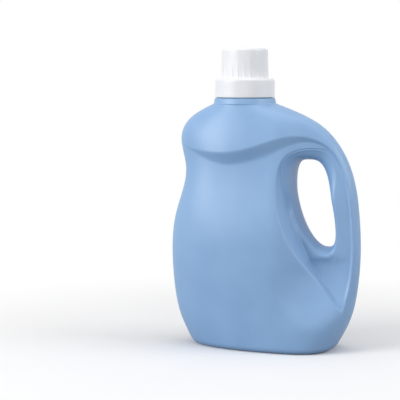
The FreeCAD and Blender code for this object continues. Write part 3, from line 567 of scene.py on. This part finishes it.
def dome_patches(ledge, arch, ridge):
    """The dome left and right of the neck, and the band outside the handle's ridge."""
    fine = np.linspace(ledge[0, 1], COLLAR_FOOT, FINE_POINTS)
    shares = even_along(fine, left_reach(fine), crowded(DOME_ROWS, 1, DOME_ROW_GROWTH))
    shares = (shares - fine[0]) / (COLLAR_FOOT - fine[0])
    ledge_shares = np.linspace(0, 1, LEDGE_COLUMNS)
    arch_shares = np.linspace(0, 1, ARCH_COLUMNS)
    ridge_shares = np.linspace(0, 1, RIDGE_COLUMNS)
    middle = turned(arch[0])
    crown_left = np.array([0, COLLAR_FOOT])
    crown_middle = np.array([middle[0], COLLAR_FOOT])
    crown_right = np.array([np.pi, COLLAR_FOOT])
    side = hull_path(turned(ledge[0]) * (0, 1), crown_left, shares)
    seam = hull_path(middle, crown_middle, shares)
    shoulder = hull_path(turned(ridge[0]), crown_right, shares)
    heel = hull_path(turned(ridge[-1]), np.array([np.pi, HEEL]), shares)
    roof_left = hull_path(crown_left, crown_middle, ledge_shares)
    roof_right = hull_path(crown_middle, crown_right, arch_shares)
    fine = np.linspace(COLLAR_FOOT, HEEL, FINE_POINTS)
    outer = side_pairs(np.pi, even_along(fine, right_reach(fine), ridge_shares))
    dome_left = lifted(patch(turned(ledge), roof_left, side, seam, ledge_shares, shares))
    dome_right = lifted(patch(turned(arch), roof_right, seam, shoulder, arch_shares, shares))
    band = lifted(patch(turned(ridge), outer, shoulder, heel, ridge_shares, shares))
    return dome_left, dome_right, band, heel


def panel_patches(ledge_low, arch_low, recess_top, recess_left, heel, on_panel):
    """The main panel below and above the recess's corner, and the lintel over the recess."""
    turn = turned(recess_left[0])
    corner = turned(ledge_low[-1])
    tip = turned(arch_low[-1])
    ledge_shares = np.linspace(0, 1, LEDGE_COLUMNS)
    arch_shares = np.linspace(0, 1, ARCH_COLUMNS)
    lintel_shares = np.linspace(0, 1, LINTEL_ROWS)
    panel_shares = np.linspace(0, 1, SIDE_COLUMNS)
    waist = hull_path(np.array([0, turn[1]]), turn, ledge_shares)
    step = hull_path(turn, corner, lintel_shares)
    left_low = side_pairs(0, lerp(HEEL, turn[1], panel_shares))
    left_high = side_pairs(0, lerp(turn[1], ledge_low[0, 1], lintel_shares))
    low_panel = on_panel(patch(heel, waist, left_low, turned(recess_left[::-1]), ledge_shares, panel_shares))
    high_panel = on_panel(patch(waist, turned(ledge_low), left_high, step, ledge_shares, lintel_shares))
    lintel = on_panel(patch(turned(recess_top[::-1]), turned(arch_low), step,
                            np.repeat(tip[None], LINTEL_ROWS, axis=0), arch_shares, lintel_shares))
    return low_panel, high_panel, lintel


def recess_patches(recess_top, recess_left, top_depths, left_depths, ridge_bottom):
    """The recess round the whole hole: under its top and left outlines, and inside the handle's ridge."""
    sides = (
        (recess_top, top_depths, RIM_KNEE, RIM_TURN),
        (recess_left, left_depths, RIM_TURN, RIM_HEEL),
        (ridge_bottom[:, (0, 2)], -ridge_bottom[:, 1], RIM_KNEE, RIM_HEEL - 1),
    )
    return [recess_ring(outline, tops, ridge_bottom, first, last) for outline, tops, first, last in sides]


def front_patches():
    """All patches of the front half, as grids of points. Neighbours share their border points."""
    ledge, arch, ridge = dome_edge()
    ledge_low, arch_low, ridge_low = ledge_foot(ledge, arch, ridge)
    lows = np.concatenate([ledge_low, arch_low[1:]])

    def panel_setback(outs, heights):
        """The panel lies back under the ledge and comes forward evenly as it goes down."""
        top = np.interp(outs, lows[:, 0], lows[:, 1])
        share = ease((heights - PANEL_FADE_HEIGHT) / (top - PANEL_FADE_HEIGHT))
        return ledge_size(outs, LEDGE_INSET, RIDGE_INSET) * share

    def on_panel(pairs):
        return lifted(pairs, panel_setback)

    tops = [lifted(turned(part)) for part in (ledge, arch, ridge)]
    ridge_bottom = lifted(turned(ridge_low), lambda outs, heights: RIDGE_INSET * ridge_fade(heights))
    bottoms = [on_panel(turned(ledge_low)), on_panel(turned(arch_low)), ridge_bottom]
    ridge_bottom[0] = bottoms[1][-1]
    ridge_bottom[-1] = tops[2][-1]
    wall_shares = np.linspace(0, 1, WALL_ROWS)[:, None, None]
    walls = [lerp(low[None], high[None], wall_shares) for low, high in zip(bottoms, tops)]

    dome_left, dome_right, band, heel_right = dome_patches(ledge, arch, ridge)
    recess_top, recess_left = recess_outline(arch_low[-1], ridge[-1])
    heel_left = hull_path(np.array([0, HEEL]), turned(ridge[-1]), np.linspace(0, 1, LEDGE_COLUMNS))
    low_panel, high_panel, lintel = panel_patches(ledge_low, arch_low, recess_top, recess_left, heel_left,
                                                  on_panel)
    recess = recess_patches(recess_top, recess_left, -lintel[0, ::-1, 1], -low_panel[::-1, -1, 1],
                            ridge_bottom)
    feet = [foot_rows(heel[:, 0]) for heel in (heel_left, heel_right)]
    necks = [neck_rows(dome[-1]) for dome in (dome_left, dome_right)]
    return [dome_left, dome_right, band, *walls, low_panel, high_panel, lintel, *recess, *feet, *necks]


# Meshes

# Points nearer to each other than this are made one, in millimetres.
WELD = 0.02


def grid_faces(rows, columns, start, closed):
    """Quads of a grid of points. A closed grid's last column joins its first."""
    index = np.arange(rows * columns).reshape(rows, columns) + start
    if closed:
        index = np.concatenate([index, index[:, :1]], axis=1)
    return np.stack([index[:-1, :-1], index[:-1, 1:], index[1:, 1:], index[1:, :-1]], axis=-1).reshape(-1, 4)


def mesh_piece(name, grids, material, closed=False):
    """One welded mesh of grids of points given in millimetres about the neck's axis."""
    points = []
    faces = []
    start = 0
    for grid in grids:
        rows, columns = grid.shape[:2]
        points.append(grid.reshape(-1, 3))
        faces.append(grid_faces(rows, columns, start, closed))
        start += rows * columns
    points = (np.concatenate(points) + (NECK_X, 0, 0)) * MM
    mesh = bpy.data.meshes.new(name)
    mesh.from_pydata(points.tolist(), [], np.concatenate(faces).tolist())
    welded = bmesh.new()
    welded.from_mesh(mesh)
    bmesh.ops.remove_doubles(welded, verts=welded.verts, dist=WELD * MM)
    bmesh.ops.dissolve_degenerate(welded, dist=WELD * MM, edges=welded.edges)
    bmesh.ops.recalc_face_normals(welded, faces=welded.faces)
    welded.to_mesh(mesh)
    welded.free()
    mesh.polygons.foreach_set("use_smooth", np.ones(len(mesh.polygons), bool))
    mesh.materials.append(material)
    piece = bpy.data.objects.new(name, mesh)
    bpy.context.scene.collection.objects.link(piece)
    return piece


def soften(piece, levels):
    """Rounds a piece's creases with a subdivision surface."""
    rounding = piece.modifiers.new("rounding", "SUBSURF")
    rounding.levels = levels
    rounding.render_levels = levels


# Materials

def tint(red, green, blue):
    """Linear colour of a display colour given from 0 to 255."""
    shares = np.array([red, green, blue]) / 255
    linear = np.where(shares <= 0.04045, shares / 12.92, ((shares + 0.055) / 1.055) ** 2.4)
    return (*linear.tolist(), 1.0)


class Wire:
    """An output socket of a finish. Arithmetic on it adds Math nodes."""

    def __init__(self, finish, socket):
        self.finish = finish
        self.socket = socket

    def maths(self, operation, first, second=0.0):
        return self.finish.node("ShaderNodeMath", {"operation": operation}, {0: first, 1: second})

    def __add__(self, other):
        return self.maths("ADD", self, other)

    def __radd__(self, other):
        return self.maths("ADD", other, self)

    def __sub__(self, other):
        return self.maths("SUBTRACT", self, other)

    def __rsub__(self, other):
        return self.maths("SUBTRACT", other, self)

    def __mul__(self, other):
        return self.maths("MULTIPLY", self, other)

    def __rmul__(self, other):
        return self.maths("MULTIPLY", other, self)

    def __truediv__(self, other):
        return self.maths("DIVIDE", self, other)

    def __rtruediv__(self, other):
        return self.maths("DIVIDE", other, self)

    def __abs__(self):
        return self.maths("ABSOLUTE", self)

    def between(self, low, high):
        """0 below the low value, 1 above the high one, and smooth between them."""
        return self.finish.node("ShaderNodeMapRange", {"interpolation_type": "SMOOTHSTEP"},
                                {"Value": self, "From Min": low, "From Max": high})


class Finish:
    """A material whose nodes are laid one by one."""

    def __init__(self, name):
        self.material = bpy.data.materials.new(name)
        self.material.use_nodes = True
        self.tree = self.material.node_tree
        self.tree.nodes.clear()
        place = self.tree.nodes.new("ShaderNodeTexCoord")
        self.place = Wire(self, place.outputs["Object"])

    def node(self, kind, settings, sockets, output=0):
        made = self.tree.nodes.new(kind)
        for name, value in settings.items():
            setattr(made, name, value)
        for key, value in sockets.items():
            if isinstance(value, Wire):
                self.tree.links.new(value.socket, made.inputs[key])
            else:
                made.inputs[key].default_value = value
        return Wire(self, made.outputs[output]) if made.outputs else None

    def noise(self, scale, detail=2.0, stretch=(1, 1, 1)):
        """Noise whose features are 1/scale metres wide, on the piece's own coordinates."""
        place = self.node("ShaderNodeMapping", {}, {"Vector": self.place, "Scale": stretch})
        return self.node("ShaderNodeTexNoise", {}, {"Vector": place, "Scale": scale, "Detail": detail})

    def axis(self, index):
        return self.node("ShaderNodeSeparateXYZ", {}, {0: self.place}, index)

    def blend(self, share, first, second):
        """Mix of two colours."""
        return self.node("ShaderNodeMix", {"data_type": "RGBA"}, {0: share, 6: first, 7: second}, 2)

    def plastic(self, colour, roughness, relief, **constants):
        """Closes the material: relief is a height in millimetres."""
        bump = self.node("ShaderNodeBump", {}, {"Height": relief, "Distance": MM, "Strength": 1.0})
        sockets = {"Base Color": colour, "Roughness": roughness, "Normal": bump}
        sockets.update({name.replace("_", " "): value for name, value in constants.items()})
        shader = self.node("ShaderNodeBsdfPrincipled", {}, sockets)
        self.node("ShaderNodeOutputMaterial", {}, {"Surface": shader})
        return self.material


def blown_plastic():
    """Satin blue polyethylene: fine mould grain, soft waviness, a parting line and a scuffed foot."""
    finish = Finish("blown_plastic")
    cloud = finish.noise(22, 3)
    grain = finish.noise(1900, 2)
    pores = finish.noise(650, 3)
    waves = finish.noise(55, 1, (1, 1, 0.45))
    across = finish.axis(1)
    up = finish.axis(2)
    parting = 1 - abs(across).between(0.0001, 0.0004)
    foot = 1 - up.between(0.0006, 0.004)
    scuffs = finish.noise(420, 4, (1, 1, 3)).between(0.52, 0.68) * foot
    tone = finish.blend(cloud.between(0.3, 0.7), tint(123, 161, 203), tint(129, 167, 208))
    tone = finish.blend(parting * 0.35, tone, tint(107, 145, 190))
    tone = finish.blend(scuffs * 0.5, tone, tint(160, 186, 212))
    roughness = 0.40 + 0.08 * cloud + 0.05 * pores + 0.18 * scuffs
    relief = 0.006 * grain + 0.012 * pores + 0.10 * waves + 0.12 * parting + 0.03 * scuffs
    return finish.plastic(tone, roughness, relief, IOR=1.5, Specular_IOR_Level=0.8,
                          Subsurface_Weight=0.08, Subsurface_Radius=(0.003, 0.003, 0.003),
                          Subsurface_Scale=1.0)


def moulded_white():
    """White polypropylene: smooth and slightly glossy, with faint flow marks."""
    finish = Finish("moulded_white")
    cloud = finish.noise(45, 3)
    grain = finish.noise(1500, 2)
    flow = finish.noise(160, 2, (1, 1, 0.15))
    tone = finish.blend(cloud.between(0.3, 0.7), tint(228, 230, 234), tint(233, 235, 238))
    roughness = 0.30 + 0.08 * cloud + 0.05 * flow
    relief = 0.004 * grain + 0.02 * flow
    return finish.plastic(tone, roughness, relief, IOR=1.49, Subsurface_Weight=0.1,
                          Subsurface_Radius=(0.004, 0.004, 0.004), Subsurface_Scale=1.0)


def natural_plastic():
    """Natural polyethylene of the spout: milky, a little cloudy, with a fine grain."""
    finish = Finish("natural_plastic")
    cloud = finish.noise(70, 3)
    grain = finish.noise(1300, 2)
    tone = finish.blend(cloud.between(0.3, 0.7), tint(214, 220, 224), tint(224, 229, 231))
    roughness = 0.38 + 0.10 * cloud
    relief = 0.008 * grain + 0.02 * cloud
    return finish.plastic(tone, roughness, relief, IOR=1.5, Subsurface_Weight=0.2,
                          Subsurface_Radius=(0.004, 0.004, 0.004), Subsurface_Scale=1.0)


def seal_foam():
    """Closed-cell foam of the seal: matt, pale grey and finely pitted."""
    finish = Finish("seal_foam")
    cells = finish.noise(1100, 3)
    cloud = finish.noise(90, 2)
    tone = finish.blend(cells.between(0.35, 0.65), tint(196, 196, 190), tint(214, 214, 208))
    roughness = 0.75 + 0.10 * cloud
    relief = 0.08 * cells
    return finish.plastic(tone, roughness, relief, IOR=1.45)


# Pieces

def build_bottle(material):
    """The blown body: the front patches and their mirror image, welded into one closed skin."""
    front = front_patches()
    back = [grid * (1, -1, 1) for grid in front]
    piece = mesh_piece("blown_bottle", front + back, material)
    soften(piece, 1)
    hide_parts("bottle")
    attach(piece, "container")
    return piece


def cap_profile():
    """Radii and heights of the cap: down its outside from the middle of its top, then up its inside.

    The top is dished inside its rounded edge, and each corner has a row or two of its own.
    """
    quarter = np.linspace(0, np.pi / 2, 7)[1:]
    edge = TIER_RADIUS - CAP_EDGE_RADIUS
    shoulder = SKIRT_RADIUS - SHOULDER_EDGE_RADIUS
    cup = TIER_RADIUS - TIER_WALL
    dish = CAP_TOP - CAP_TOP_DISH
    ceiling = SHOULDER_TOP - SHOULDER_WALL
    roof = CAP_TOP - CAP_TOP_WALL
    radii = np.concatenate([
        (0, 8, 16, edge - 1.8, edge - 1.1, edge - 0.4), edge + CAP_EDGE_RADIUS * np.sin(quarter),
        np.full(TIER_ROWS, TIER_RADIUS),
        TIER_RADIUS + np.array((0.05, 0.3, 0.9, 2.5)), shoulder + SHOULDER_EDGE_RADIUS * np.sin(quarter),
        np.full(SKIRT_ROWS, SKIRT_RADIUS),
        SKIRT_RADIUS - np.array((0.1, 0.45, 1.05, 1.35)), np.full(SKIRT_BORE_ROWS, SKIRT_BORE_RADIUS),
        (SKIRT_BORE_RADIUS - 0.25, SKIRT_BORE_RADIUS - 1.15, TIER_RADIUS),
        (cup + 0.2, cup, cup, cup - 0.1, cup - 1, 10, 0),
    ])
    heights = np.concatenate([
        (dish, dish, dish, dish, dish + 0.2, CAP_TOP), CAP_TOP - CAP_EDGE_RADIUS * (1 - np.cos(quarter)),
        np.linspace(CAP_TOP - 5.1, SHOULDER_TOP + 2.2, TIER_ROWS),
        SHOULDER_TOP + np.array((1.2, 0.4, 0.05, 0)),
        SHOULDER_TOP - SHOULDER_EDGE_RADIUS * (1 - np.cos(quarter)),
        np.linspace(SHOULDER_TOP - 4.5, CAP_BOTTOM + 1, SKIRT_ROWS),
        CAP_BOTTOM + np.array((0.3, 0, 0, 0.2)),
        np.linspace(CAP_BOTTOM + 0.8, ceiling - 0.6, SKIRT_BORE_ROWS),
        ceiling + np.array((-0.1, 0, 0)),
        (ceiling + 0.3, ceiling + 1.3, roof - 2.1, roof - 0.7, roof, roof, roof),
    ])
    return radii, heights


def build_cap(material):
    """Dosing cap: a turned profile with ribs that fade up the cup, and its thread inside the skirt."""
    radii, heights = [values[:, None] for values in cap_profile()]
    pitch = 2 * np.pi / CAP_RIBS
    columns = np.array(CAP_RIB_COLUMNS) / TIER_RADIUS
    angles = (np.arange(CAP_RIBS)[:, None] * pitch + columns).ravel()[None, :]
    away = np.abs((angles / pitch + 0.5) % 1 - 0.5) * pitch * TIER_RADIUS
    rib = CAP_RIB_RISE * ease((CAP_RIB_HALF_WIDTH - away) / CAP_RIB_FLANK)
    fade = np.clip((CAP_RIB_TOP - heights) / CAP_RIB_FADE_LENGTH, 0, 1) ** CAP_RIB_FADE_POWER
    on_cup = np.arange(len(radii))[:, None] < CUP_ROWS
    groove = thread_rise(angles, heights, CAP_THREAD_ENDS, CAP_THREAD_RISE, THREAD_SPACING / 2)
    reach = radii + np.where(on_cup, rib * fade, 0) - np.where(radii == SKIRT_BORE_RADIUS, groove, 0)
    grid = np.stack([reach * np.cos(angles), reach * np.sin(angles), heights + 0 * angles], axis=-1)
    piece = mesh_piece("ribbed_cap", [grid], material, closed=True)
    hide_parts("dosing_cap")
    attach(piece, "cap")
    return piece


def finish_node(name, material):
    """Gives a CAD node its finish."""
    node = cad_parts[name]
    node.data.materials.clear()
    node.data.materials.append(material)


# Studio

# Metres, watts and pixels.
FLOOR_SIDE = 60
# The floor shows its shadow up to the first distance, and has faded to white at the second.
FLOOR_FADE = (0.12, 0.55)
WORLD_LIGHT = 0.40
# Each soft box: its name, its place, its width and its power. All shine on the middle of the bottle.
LAMPS = (
    ("left_box", (-1.3, -1.3, 0.8), 1.1, 26),
    ("right_box", (1.6, -0.02, 0.9), 1.0, 12),
    ("front_box", (0.9, -2.1, 0.4), 1.4, 8),
    ("top_box", (0.1, 0.0, 1.7), 1.2, 8),
)
MIDDLE_HEIGHT = 0.15
# The photograph's side and focal length in pixels, and the pixel that the camera points at.
PHOTO_SIDE = 400
FOCAL_PIXELS = 1434
AIM_PIXEL = (245, 203.6)
SENSOR_WIDTH = 36
CAMERA_PLACE = (0.4412, -1.4266, 0.296)


def build_floor():
    """Large pale floor that keeps the bottle's shadow and fades into the white background."""
    bpy.ops.mesh.primitive_plane_add(size=FLOOR_SIDE, location=(0, 0, 0))
    floor = bpy.context.object
    floor.name = "studio_floor"
    finish = Finish("studio_floor")
    rays = finish.node("ShaderNodeLightPath", {}, {})
    for kind in ("Is Glossy Ray", "Is Transmission Ray"):
        rays = finish.node("ShaderNodeMath", {"operation": "MAXIMUM"},
                           {0: rays, 1: finish.node("ShaderNodeLightPath", {}, {}, kind)})
    speck = finish.noise(8, 2)
    tone = finish.blend(speck, tint(238, 238, 239), tint(242, 242, 243))
    distance = finish.node("ShaderNodeVectorMath", {"operation": "LENGTH"}, {0: finish.place}, "Value")
    cloth = finish.node("ShaderNodeBsdfDiffuse", {}, {"Color": tone})
    table = finish.node("ShaderNodeBsdfDiffuse", {}, {"Color": tint(150, 152, 156)})
    glow = finish.node("ShaderNodeEmission", {}, {"Color": (1, 1, 1, 1), "Strength": 1.0})
    seen = finish.node("ShaderNodeMixShader", {}, {0: distance.between(*FLOOR_FADE), 1: cloth, 2: glow})
    mixed = finish.node("ShaderNodeMixShader", {}, {0: rays, 1: table, 2: seen})
    finish.node("ShaderNodeOutputMaterial", {}, {"Surface": mixed})
    floor.data.materials.append(finish.material)


def build_world():
    """Even grey light all round, seen as white by the camera and in reflections."""
    world = bpy.data.worlds.new("studio")
    bpy.context.scene.world = world
    world.use_nodes = True
    tree = world.node_tree
    tree.nodes.clear()
    rays = tree.nodes.new("ShaderNodeLightPath")
    seen = rays.outputs["Is Camera Ray"]
    for kind in ("Is Glossy Ray", "Is Transmission Ray"):
        either = tree.nodes.new("ShaderNodeMath")
        either.operation = "MAXIMUM"
        tree.links.new(seen, either.inputs[0])
        tree.links.new(rays.outputs[kind], either.inputs[1])
        seen = either.outputs[0]
    strength = tree.nodes.new("ShaderNodeMapRange")
    strength.inputs["To Min"].default_value = WORLD_LIGHT
    strength.inputs["To Max"].default_value = 1.0
    tree.links.new(seen, strength.inputs["Value"])
    background = tree.nodes.new("ShaderNodeBackground")
    background.inputs["Color"].default_value = (1, 1, 1, 1)
    tree.links.new(strength.outputs[0], background.inputs["Strength"])
    output = tree.nodes.new("ShaderNodeOutputWorld")
    tree.links.new(background.outputs[0], output.inputs["Surface"])


def add_aimed(name, data, place, aim):
    """Puts a lamp or the camera at its place, turned to its aim."""
    holder = bpy.data.objects.new(name, data)
    bpy.context.scene.collection.objects.link(holder)
    holder.location = place
    holder.rotation_mode = "QUATERNION"
    holder.rotation_quaternion = (Vector(aim) - Vector(place)).to_track_quat("-Z", "Y")
    return holder


def build_lamps():
    """A key light from the left, a weaker one from the right, a faint front fill and a soft top light."""
    for name, place, width, power in LAMPS:
        lamp = bpy.data.lights.new(name, "AREA")
        lamp.shape = "SQUARE"
        lamp.size = width
        lamp.energy = power
        add_aimed(name, lamp, place, (0, 0, MIDDLE_HEIGHT))


def build_camera():
    """Camera at the photograph's angle: 18 degrees round to the handle, and nearly level."""
    camera = bpy.data.cameras.new("camera")
    camera.sensor_width = SENSOR_WIDTH
    camera.lens = SENSOR_WIDTH * FOCAL_PIXELS / PHOTO_SIDE
    camera.shift_x = (PHOTO_SIDE / 2 - AIM_PIXEL[0]) / PHOTO_SIDE
    camera.shift_y = (AIM_PIXEL[1] - PHOTO_SIDE / 2) / PHOTO_SIDE
    aim = (NECK_X * MM, 0, MIDDLE_HEIGHT)
    bpy.context.scene.camera = add_aimed("camera", camera, CAMERA_PLACE, aim)


build_bottle(blown_plastic())
build_cap(moulded_white())
finish_node("pour_spout", natural_plastic())
finish_node("seal_ring", seal_foam())
build_floor()
build_world()
build_lamps()
build_camera()
bpy.context.scene.view_settings.view_transform = "Standard"
